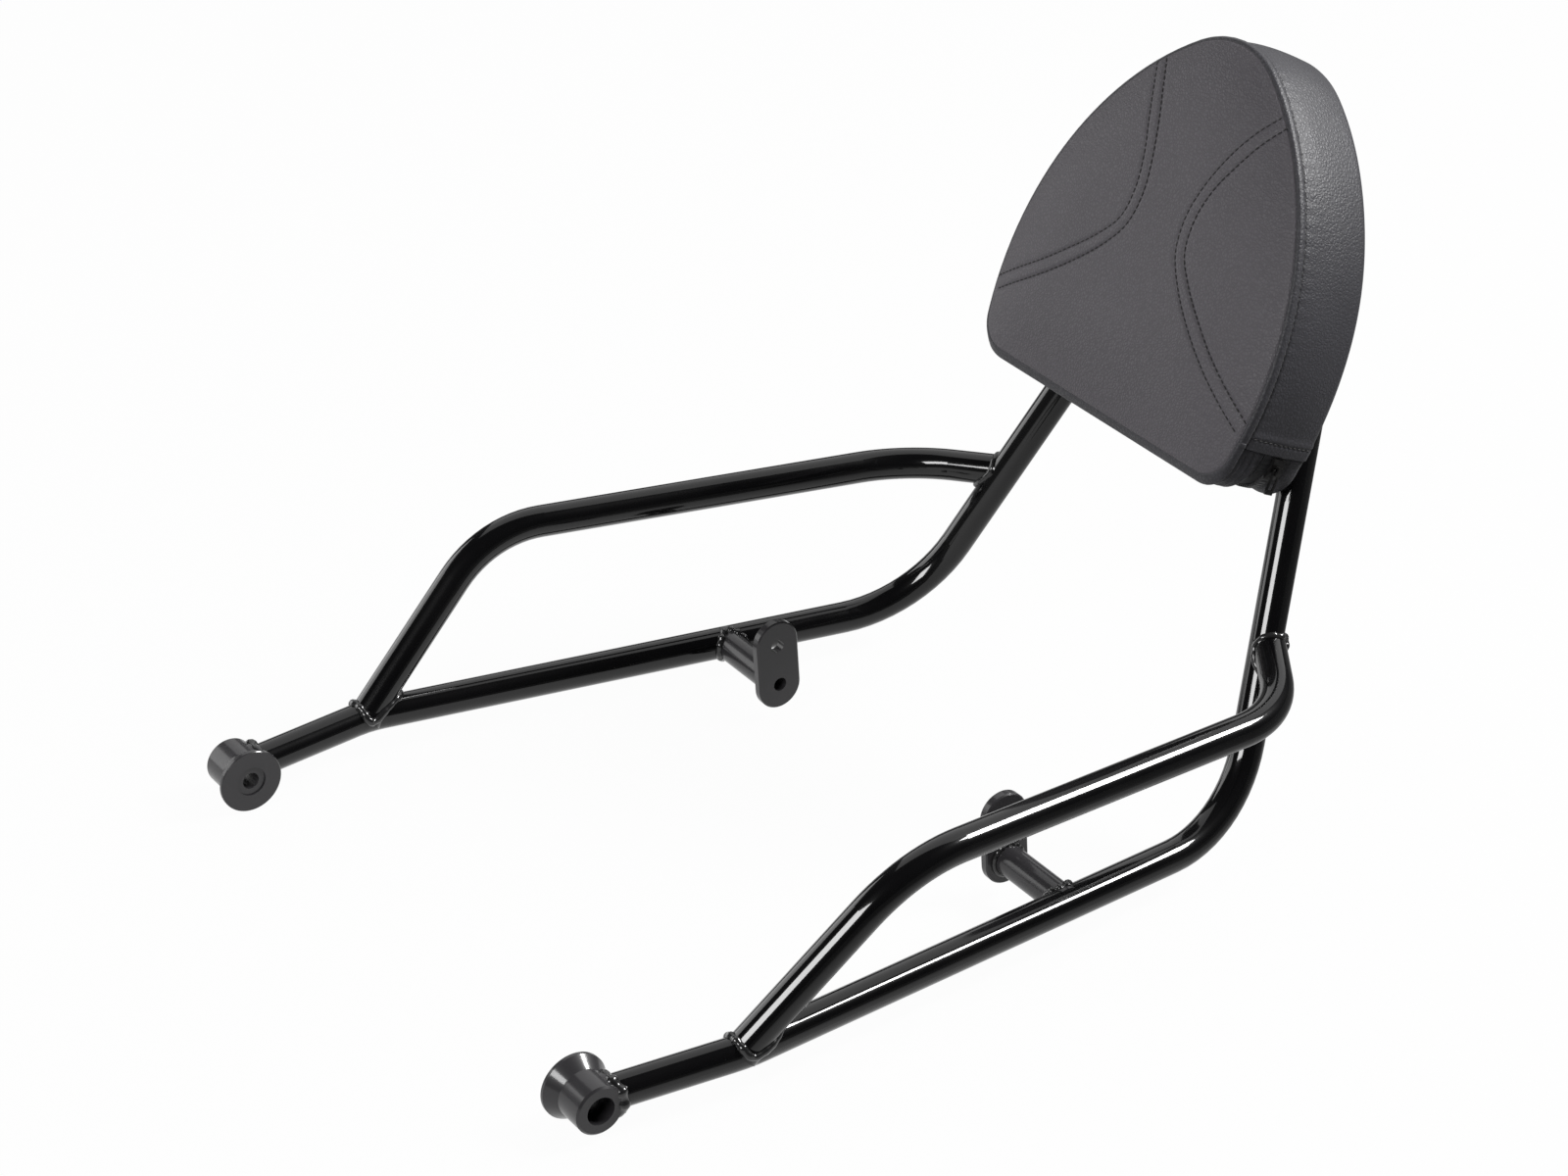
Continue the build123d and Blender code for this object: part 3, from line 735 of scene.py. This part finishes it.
outerRow, outerLength = smoothRow(twinSeam["outer"])
innerRow, innerLength = smoothRow(twinSeam["inner"])
swellShares, swellFront, swellDepths, swellBand = blowUp()
frontSkin = {
    "around": 600,
    "rings": 90,
    "crowding": 1.12,
    # inset and drop of the edge tucked in behind the seam
    "tuck": ((7.0, 3.4), (1.5, 2.8), (0.9, 1.4)),
    "edgePull": 0.7,
    "pullWide": 3.0,
    "edgeDrop": 0.6,
    "dropWide": 2.0,
    "swellFrom": (0.0, 6.0),
    # small puckers where the panel is gathered into the side seams
    "pucker": 0.17,
    "puckerPitch": 4.3,
    "puckerSway": 1.9,
    "swayPitch": 23.0,
    "puckerAt": (11.0, 6.0),
    "gatherLow": (400.0, 430.0),
    "gatherHigh": (520.0, 560.0),
}


def frontHeight(run, share):
    u, v, inside = frontPlace(run, share)
    swollen = readSwell(swellShares, swellFront, run, share)
    height = crownHeight(u, v) + swollen * smooth(inside, *frontSkin["swellFrom"])
    across = np.abs(u)
    toOuter = nearest(across, v, outerRow)
    toInner = nearest(across, v, innerRow)
    strip = 1.0 - smooth(toOuter + toInner, *twinSeam["stripWide"])
    height = height + twinSeam["lift"] * strip * smooth(inside, *twinSeam["liftFrom"])
    least, wide = twinSeam["grooveLeast"], twinSeam["grooveWide"]
    deep = twinSeam["groove"] * (least + (1.0 - least) * smooth(inside, *twinSeam["grooveFrom"]))
    height = height - deep * (dip(toOuter, 0.0, wide) + dip(toInner, 0.0, wide))
    gather = smooth(v, *frontSkin["gatherLow"]) * (1.0 - smooth(v, *frontSkin["gatherHigh"]))
    sway = frontSkin["puckerSway"] * np.sin(run / frontSkin["swayPitch"])
    pucker = np.cos(run * 2.0 * math.pi / frontSkin["puckerPitch"] + sway) * dip(inside, *frontSkin["puckerAt"])
    return u, v, inside, height + frontSkin["pucker"] * gather * pucker


def buildFront():
    around = frontSkin["around"]
    run = evenRuns(around)
    eu, ev, du, dv = padEdge(run)
    shares = 1.0 - np.linspace(0.0, 1.0, frontSkin["rings"] + 1)[:-1] ** frontSkin["crowding"]
    rings = [padPlace(eu - inset * du, ev - inset * dv, pad["front"] - drop) for inset, drop in frontSkin["tuck"]]
    grid = [frontHeight(run, np.full(around, share)) for share in shares]
    for u, v, inside, height in grid:
        pull = frontSkin["edgePull"] * (1.0 - smooth(inside, 0.0, frontSkin["pullWide"]))
        drop = frontSkin["edgeDrop"] * (1.0 - smooth(inside, 0.0, frontSkin["dropWide"]))
        rings.append(padPlace(u - pull * du, v - pull * dv, pad["front"] + height - drop))
    count = len(rings)
    hub, top = count * around, (count - 1) * around
    faces = gridFaces(count, around) + capFaces(count, around)[:1]
    faces += [(top + j, top + (j + 1) % around, hub) for j in range(around)]
    peak = padPlace(0.0, pad["middle"], pad["front"] + float(grid[-1][3].mean()))
    piece = newPiece("padFront", np.concatenate(rings + [peak.reshape(1, 3)]), faces, finishes["front"])
    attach(piece, "bar")
    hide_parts("pad_foam", "front_panel_middle", "front_panel_right", "front_panel_left")
    print("pad front built", len(faces))


# side band, by depth behind the front seam and by length along the edge
band = {
    "depths": (0.0, 0.35, 0.8, 1.4, 2.1, 2.9, 3.7, 4.5, 5.2, 5.8, 6.2, 6.6, 7.0, 7.5, 8.2, 9.2, 10.6, 12.5,
               15.0, 18.0, 21.5, 25.0, 29.0, 33.0, 37.0, 41.0, 45.0, 48.5, 51.5, 53.5, 55.2, 56.8, 58.2, 59.4,
               60.3, 60.9),
    "ends": (0.0, 0.5, 1.2, 2.2, 3.4, 4.6, 5.6, 6.2, 6.8, 7.4, 8.2, 9.4, 11.0, 12.6),
    "middleFrom": 14.2,
    "columns": 330,
    "innerRows": 5,
    "innerInset": 0.6,
    "wall": 2.2,
    "swellFrom": (8.0, 20.0),
    "hemLift": 0.9,
    "hemWide": (9.0, 12.5),
    "hemFrom": (6.0, 8.0),
    "hemStitch": 7.0,
    "hemGroove": 0.6,
    "hemGrooveWide": 0.8,
    # puckers beside the front seam, and slow waves over the rest
    "pucker": 0.10,
    "puckerPitch": 8.3,
    "puckerSway": 2.1,
    "swayPitch": 29.0,
    "puckerAt": (9.0, 7.0),
    "slow": 0.18,
    "slowPitches": ((17.0, 9.0), (41.0, -13.0)),
    "slowFrom": (10.0, 22.0),
}


# a closed strip along the edge, with its outer side at the given distances out of the outline
def stripPiece(name, runs, depths, outs, wall):
    eu, ev, du, dv = padEdge(runs)
    first, last = depths[0] + band["innerInset"], depths[-1] - band["innerInset"]
    back = np.linspace(depths[-1], depths[0], band["innerRows"])
    inner = np.array([np.interp(back, depths, row) for row in outs]) - wall
    rows = []
    for out, depth in list(zip(outs.T, depths)) + list(zip(inner.T, np.clip(back, first, last))):
        rows.append(padPlace(eu + du * out, ev + dv * out, pad["front"] - depth))
    loop = len(rows)
    points = np.stack(rows, axis=1).reshape(-1, 3)
    faces = gridFaces(len(runs), loop) + capFaces(len(runs), loop)
    return newPiece(name, points, faces, finishes["band"])


def bandSurface(runs, depths):
    run, depth = np.meshgrid(runs, depths, indexing="ij")
    swollen = readSwell(swellDepths, swellBand, run, depth)
    out = bandOut(depth) + swollen * smooth(depth, *band["swellFrom"])
    fromHem = np.minimum(run - hemAt, edgeLength - hemAt - run)
    behindSeam = smooth(depth, *band["hemFrom"])
    out = out + band["hemLift"] * (1.0 - smooth(fromHem, *band["hemWide"])) * behindSeam
    out = out - band["hemGroove"] * dip(fromHem, band["hemStitch"], band["hemGrooveWide"]) * behindSeam
    sway = band["puckerSway"] * np.sin(run / band["swayPitch"])
    pucker = np.cos(run * 2.0 * math.pi / band["puckerPitch"] + sway) * dip(depth, *band["puckerAt"])
    slow = sum(np.sin(run / along + depth / across) for along, across in band["slowPitches"])
    return out + band["pucker"] * pucker + band["slow"] * slow * smooth(depth, *band["slowFrom"])


def buildBand():
    depths, ends = np.array(band["depths"]), np.array(band["ends"])
    length = edgeLength - 2 * hemAt
    middle = np.linspace(band["middleFrom"], length - band["middleFrom"], band["columns"])
    runs = hemAt + np.concatenate((ends, middle, length - ends[::-1]))
    piece = stripPiece("padSideBand", runs, depths, bandSurface(runs, depths), band["wall"])
    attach(piece, "bar")
    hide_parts("side_band")
    print("side band built")


gusset = {
    "columns": 190,
    "tuck": 3.2,
    "wall": 1.6,
    # rows: the band's own to rollTo and from turnFrom, even ones between, and two on the lip at the zip
    "rollTo": 9.0,
    "turnFrom": 54.0,
    "frontRows": (9.2, 1.2, 14),
    "rearRows": (1.4, 53.5, 8),
    "lip": (0.1, 0.6),
    "lipDip": 0.9,
    "lipWide": 0.7,
    "sink": 1.0,
    "sinkFrom": (5.5, 7.5),
    "bellyShare": 0.75,
    "bellyFrom": 7.0,
    "fold": 0.55,
    "foldAt": 9.0,
    "foldPitch": 5.3,
    "foldSway": 0.8,
    "swayPitch": 33.0,
    "foldFrom": (7.5, 10.0),
    "foldTo": (22.0, 25.0),
    "bulge": 3.6,
    "bulgeFrom": (0.2, 5.0),
    "bulgeEnds": (6.0, -5.0),
    "bulgeHeld": 0.85,
    "heldWide": 3.5,
    # the ends run in under the hems
    "endDip": 3.4,
    "endAt": (-1.5, 0.6),
    "endFrom": (5.5, 7.0),
}


def gussetSurface(runs, depths, edge):
    g = gusset
    run, depth = np.meshgrid(runs, depths, indexing="ij")
    belly = np.where(depth < g["bellyFrom"], 1.0, g["bellyShare"])
    out = bandOut(depth) * belly - g["sink"] * smooth(depth, *g["sinkFrom"])
    sway = g["foldSway"] * np.sin(run / g["swayPitch"])
    folds = np.cos((depth - g["foldAt"]) * 2.0 * math.pi / g["foldPitch"] + sway)
    out = out + g["fold"] * folds * smooth(depth, *g["foldFrom"]) * (1.0 - smooth(depth, *g["foldTo"]))
    out = out - g["lipDip"] * dip(depth, edge, g["lipWide"])
    sag = 1.0 - smooth(np.abs(run), cornerU + g["bulgeEnds"][0], hemAt + g["bulgeEnds"][1])
    free = 1.0 - g["bulgeHeld"] * dip(depth, edge, g["heldWide"])
    out = out + g["bulge"] * sag * smooth(depth, *g["bulgeFrom"]) * free
    under = smooth(np.abs(run), hemAt + g["endAt"][0], hemAt + g["endAt"][1])
    return out - g["endDip"] * under * smooth(depth, *g["endFrom"])


def buildGussets():
    runs = np.linspace(-hemAt - gusset["tuck"], hemAt + gusset["tuck"], gusset["columns"])
    depths, near, far = np.array(band["depths"]), pad["zipNear"], pad["zipFar"]
    thin, thick = gusset["lip"]
    first, short, count = gusset["frontRows"]
    front = np.concatenate((depths[depths < gusset["rollTo"]], np.linspace(first, near - short, count),
                            (near - thick, near - thin)))
    short, last, count = gusset["rearRows"]
    rear = np.concatenate(((far + thin, far + thick), np.linspace(far + short, last, count),
                           depths[depths > gusset["turnFrom"]]))
    for name, rows, node, edge in (("gussetFront", front, "gusset_front", near),
                                   ("gussetRear", rear, "gusset_rear", far)):
        piece = stripPiece(name, runs, rows, gussetSurface(runs, rows, edge), gusset["wall"])
        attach(piece, "bar")
        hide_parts(node)
    print("gussets built")


backPanel = {
    "around": 240,
    # inset from the edge and lift from the back, from the tucked edge over the seam to the middle
    "rings": ((9.0, 2.0), (3.6, 1.8), (3.1, 1.2), (3.2, 0.7), (3.9, 0.35), (5.2, 0.25), (7.0, 0.55), (7.6, 0.6),
              (8.2, 0.55), (9.8, 0.25), (14.0, 0.15), (24.0, 0.12), (45.0, 0.12), (70.0, 0.12)),
}


def buildBack():
    around = backPanel["around"]
    eu, ev, du, dv = padEdge(evenRuns(around))
    rings = []
    for inset, lift in backPanel["rings"]:
        share = 1.0 - inset / (eu * du + (ev - pad["middle"]) * dv)
        rings.append(padPlace(eu * share, pad["middle"] + (ev - pad["middle"]) * share, pad["back"] + lift))
    count = len(rings)
    faces = gridFaces(count, around) + capFaces(count, around)
    piece = newPiece("padBack", np.concatenate(rings), faces, finishes["band"])
    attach(piece, "bar")
    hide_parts("back_panel")
    print("back built")


# stitches, in mm
thread = {
    "pitch": 4.0,
    "length": 3.1,
    "thick": 0.95,
    "segments": 8,
    "rings": 6,
    "edgePoints": 2400,
    "frontFrom": 2.5,
    "frontShort": 2.0,
    "frontLift": 0.30,
    "bandDeep": 6.7,
    "bandFrom": 3.0,
    "bandLift": 0.25,
    "hemFrom": 10.0,
    "hemTo": 58.0,
}


def stitchShape():
    bpy.ops.object.select_all(action="DESELECT")
    bpy.ops.mesh.primitive_uv_sphere_add(segments=thread["segments"], ring_count=thread["rings"], radius=0.5)
    model = bpy.context.object
    points = np.array([v.co[:] for v in model.data.vertices])
    faces = [tuple(p.vertices) for p in model.data.polygons]
    bpy.data.objects.remove(model)
    return points[:, ::-1] * (thread["length"], thread["thick"], thread["thick"]), faces


# rows of stitches: each has a place, a direction along the row and a direction out of the surface
def sewRows(name, marks):
    shape, shapeFaces = stitchShape()
    points, faces = [], []
    for place, along, out in marks:
        turn = np.stack((along, np.cross(out, along), out))
        faces += [tuple(i + len(points) * len(shape) for i in face) for face in shapeFaces]
        points.append((shape @ turn + place) / 1000.0)
    piece = newPiece(name, np.concatenate(points), faces, finishes["thread"])
    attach(piece, "bar")
    print(name, len(marks), "stitches")


# height of the front at a point, found through its run and share
def frontAt(u, v):
    angle = math.atan2(v - pad["middle"], u)
    runs = evenRuns(thread["edgePoints"])
    eu, ev, du, dv = padEdge(runs)
    turn = np.arctan2(ev - pad["middle"], eu)
    k = int(np.argmin(np.abs(np.angle(np.exp(1j * (turn - angle))))))
    share = math.hypot(u, v - pad["middle"]) / math.hypot(eu[k], ev[k] - pad["middle"])
    return float(frontHeight(runs[k:k + 1], np.array([min(share, 1.0)]))[3][0])


def sewFront():
    marks = []
    ahead = padMm(0.0, 0.0, 1.0)
    for row, length in ((outerRow, outerLength), (innerRow, innerLength)):
        along = np.linspace(0.0, length, len(row))
        for hand in (1.0, -1.0):
            for start in np.arange(thread["frontFrom"], length - thread["frontShort"], thread["pitch"]):
                ends = []
                for place in (start, min(start + thread["length"], length)):
                    u = hand * float(np.interp(place, along, row[:, 0]))
                    v = float(np.interp(place, along, row[:, 1]))
                    ends.append(padMm(u, v, pad["front"] + frontAt(u, v) + thread["frontLift"]))
                way = unit(ends[1] - ends[0])
                marks.append(((ends[0] + ends[1]) / 2.0, way, unit(ahead - way * float(ahead @ way))))
    sewRows("frontStitching", marks)


# place of a stitch on the band, and the directions along the edge and out of it
def bandMark(run, depth):
    u, v, du, dv = (float(c) for c in padEdge(run))
    out = float(bandSurface(np.array([run]), np.array([depth]))[0, 0]) + thread["bandLift"]
    return padMm(u + du * out, v + dv * out, pad["front"] - depth), padMm(-dv, du, 0.0), padMm(du, dv, 0.0)


# top stitching along the ridge beside the front seam, and across the hems
def sewBand():
    start = hemAt + thread["bandFrom"]
    marks = [bandMark(run, thread["bandDeep"]) for run in np.arange(start, edgeLength - start, thread["pitch"])]
    ahead = padMm(0.0, 0.0, 1.0)
    for run in (hemAt + band["hemStitch"], edgeLength - hemAt - band["hemStitch"]):
        for depth in np.arange(thread["hemFrom"], thread["hemTo"], thread["pitch"]):
            place, along, out = bandMark(run, depth)
            marks.append((place, ahead, out))
    sewRows("bandStitching", marks)


# lines of the right half of the bar, in mm
barLines = {
    "tubeRadius": 10.0,
    "tubeEnd": (202.0, 0.0, 0.0),
    "kink": (212.2, 93.5, 5.25),
    "rearBend": (163.9, 469.0, 5.25),
    "bend": 80.0,
    "toeIn": math.radians(16.97),
    "uprightRun": 260.0,
    "railFoot": (211.17, 90.5, 5.08),
    "railFront": (227.5, 186.2, 102.1),
    "railRear": (191.5, 475.2, 94.8),
    "railJointUp": 107.5,
    "railJointBehind": 2.5,
    "stubAt": (333.8, 5.25),
    "stubRadius": 9.5,
    "plateOuter": 123.4,
    "barrelFrom": (190.0, 0.0, 0.0),
    "barrelTo": (213.0, 0.0, 0.0),
    "barrelRadius": 15.0,
    "step": 0.25,
    # stretches of the loop near the welds
    "armTo": 300.0,
    "stubFrom": 280.0,
    "stubTo": 400.0,
    "uprightFrom": 40.0,
}
# weld beads, in mm: radius, ripple pitch, ripple share, side where the bead is lumpy
beads = {
    "weldFoot": (2.6, 5.8, 0.20, (0.0, -1.0, 0.1)),
    "weldRear": (2.0, 6.4, 0.18, (0.3, 0.8, 0.5)),
    "weldStub": (2.4, 4.8, 0.22, (0.0, 0.0, 1.0)),
    "weldPlate": (1.6, 4.0, 0.12, (0.0, 0.0, 1.0)),
    "weldBoss": (3.8, 7.6, 0.20, (0.8, 0.0, 0.6)),
}
beadShape = {
    "around": 160,
    "section": 12,
    "searchBack": 60.0,
    "searchSteps": 420,
    "leg": 1.4,
    "sunk": 0.75,
    "tightest": 0.3,
    "mostLift": 3.0,
    "evened": 3,
    "lumpLeast": 0.2,
    "lumpFrom": (0.35, 0.9),
    "slow": 0.07,
    "slowBeat": 0.31,
}


def straightRun(start, end):
    start, end = np.array(start), np.array(end)
    count = max(2, int(np.linalg.norm(end - start) / barLines["step"]))
    return start + (end - start) * np.linspace(0.0, 1.0, count)[:, None]


# centre line of the right half of the loop, with its bends, and the direction of the upright
def loopLine():
    lean, toe, bend = pad["lean"], barLines["toeIn"], barLines["bend"]
    rise = np.array((-math.sin(toe), math.cos(toe) * math.sin(lean), math.cos(toe) * math.cos(lean)))
    corners = [np.array(barLines[k]) for k in ("tubeEnd", "kink", "rearBend")]
    corners.append(corners[2] + rise * barLines["uprightRun"])
    line, start = [], corners[0]
    for k in (1, 2):
        into, out = unit(corners[k] - corners[k - 1]), unit(corners[k + 1] - corners[k])
        turn = math.acos(float(into @ out))
        setback = bend * math.tan(turn / 2.0)
        begin = corners[k] - into * setback
        inward = (out - into * float(into @ out)) / math.sin(turn)
        line.append(straightRun(start, begin))
        angle = np.linspace(0.0, turn, int(bend * turn / barLines["step"]))[:, None]
        line.append(begin + bend * (np.sin(angle) * into + (1.0 - np.cos(angle)) * inward))
        start = corners[k] + out * setback
    line.append(straightRun(start, corners[3]))
    return np.concatenate(line), rise


# where a branch from start to end meets its carrier: places, and the directions out of carrier and branch
def meetingPath(start, end, radius, carrier, carrierRadius):
    start, end = np.array(start, dtype=float), np.array(end, dtype=float)
    way = unit(end - start)
    side = unit(np.cross(way, (0.0, 0.0, 1.0) if abs(way[2]) < 0.8 else (0.0, 1.0, 0.0)))
    other = np.cross(way, side)
    reach = np.linalg.norm(end - start)
    steps = np.linspace(max(0.0, reach - beadShape["searchBack"]), reach, beadShape["searchSteps"])
    places, outs, branchOuts = [], [], []
    for turn in np.linspace(0.0, 2.0 * math.pi, beadShape["around"], endpoint=False):
        branchOut = side * math.cos(turn) + other * math.sin(turn)
        points = start + way * steps[:, None] + branchOut * radius
        gaps = np.array([np.linalg.norm(carrier - p, axis=1).min() for p in points]) - carrierRadius
        inside = np.nonzero(gaps < 0.0)[0]
        place = points[int(inside[0]) if len(inside) else int(np.argmin(gaps))]
        near = carrier[int(np.argmin(np.linalg.norm(carrier - place, axis=1)))]
        places.append(place)
        outs.append(unit(place - near))
        branchOuts.append(branchOut)
    return np.array(places), np.array(outs), np.array(branchOuts)


def layBead(name, places, outs, branchOuts, hand):
    radius, pitch, share, aim = beads[name]
    around, section, least = beadShape["around"], beadShape["section"], beadShape["lumpLeast"]
    lumpy = least + (1.0 - least) * smooth(branchOuts @ np.array(aim), *beadShape["lumpFrom"])
    both = outs + branchOuts
    size = np.linalg.norm(both, axis=1, keepdims=True)
    lift = beadShape["leg"] / np.maximum(size / 2.0, beadShape["tightest"]) - beadShape["sunk"] * radius
    across = both / np.maximum(size, 1e-6)
    centre = places + across * np.clip(lift, 0.0, beadShape["mostLift"])
    for repeat in range(beadShape["evened"]):
        centre = (np.roll(centre, 1, axis=0) + 2.0 * centre + np.roll(centre, -1, axis=0)) / 4.0
    along = unit(np.roll(centre, -1, axis=0) - np.roll(centre, 1, axis=0))
    across = unit(across - along * np.sum(across * along, axis=1, keepdims=True))
    beside = np.cross(along, across)
    run = np.concatenate(([0.0], np.cumsum(np.linalg.norm(np.diff(centre, axis=0), axis=1))))
    length = run[-1] + np.linalg.norm(centre[0] - centre[-1])
    beat = 2.0 * math.pi * round(length / pitch) / length
    ripple = 1.0 + share * lumpy * np.sin(run * beat)
    ripple = ripple + beadShape["slow"] * np.sin(run * beadShape["slowBeat"] + 1.0)
    bpy.ops.object.select_all(action="DESELECT")
    bpy.ops.mesh.primitive_torus_add(major_segments=around, minor_segments=section)
    bead = bpy.context.object
    bead.name = name + ("Right" if hand > 0 else "Left")
    angle = 2.0 * math.pi * np.arange(section)[:, None] / section
    ring = across[:, None] * np.cos(angle) + beside[:, None] * np.sin(angle)
    points = centre[:, None] + radius * ripple[:, None, None] * ring
    for vertex, point in zip(bead.data.vertices, points.reshape(-1, 3) * (hand, 1.0, 1.0) / 1000.0):
        vertex.co = point
    faceOutward(bead)
    bead.data.materials.clear()
    bead.data.materials.append(finishes["weld"])
    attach(bead, "bar")


def layBeads():
    b = barLines
    lean, tube = pad["lean"], b["tubeRadius"]
    loop, rise = loopLine()
    joint = np.array(b["rearBend"]) + rise * b["railJointUp"] / math.cos(b["toeIn"])
    joint = joint + np.array((0.0, math.cos(lean), -math.sin(lean))) * b["railJointBehind"]
    stubY, stubZ = b["stubAt"]
    armX = np.interp(stubY, (b["kink"][1], b["rearBend"][1]), (b["kink"][0], b["rearBend"][0]))
    stubFoot, stubHead = np.array((b["plateOuter"], stubY, stubZ)), (armX, stubY, stubZ)
    arm = loop[loop[:, 1] < b["armTo"]]
    armRear = loop[(loop[:, 1] > b["stubFrom"]) & (loop[:, 1] < b["stubTo"])]
    upright = loop[loop[:, 2] > b["uprightFrom"]]
    barrel = straightRun(b["barrelFrom"], b["barrelTo"])
    turn = np.linspace(0.0, 2.0 * math.pi, beadShape["around"], endpoint=False)
    ring = np.stack((np.zeros_like(turn), np.cos(turn), np.sin(turn)), axis=1)
    paths = {
        "weldFoot": meetingPath(b["railFront"], b["railFoot"], tube, arm, tube),
        "weldRear": meetingPath(b["railRear"], joint, tube, upright, tube),
        "weldStub": meetingPath(stubFoot, stubHead, b["stubRadius"], armRear, tube),
        "weldBoss": meetingPath(b["kink"], b["tubeEnd"], tube, barrel, b["barrelRadius"]),
        "weldPlate": (ring * b["stubRadius"] + stubFoot, np.tile((1.0, 0.0, 0.0), (len(turn), 1)), ring),
    }
    for name, (places, outs, branchOuts) in paths.items():
        for hand in (1.0, -1.0):
            layBead(name, places, outs, branchOuts, hand)
    print("weld beads laid")


placeCamera()
hangLamps()
layFloor()
dressNodes()
buildFront()
buildBand()
buildGussets()
buildBack()
sewFront()
sewBand()
layBeads()

scene.view_settings.view_transform = "Standard"
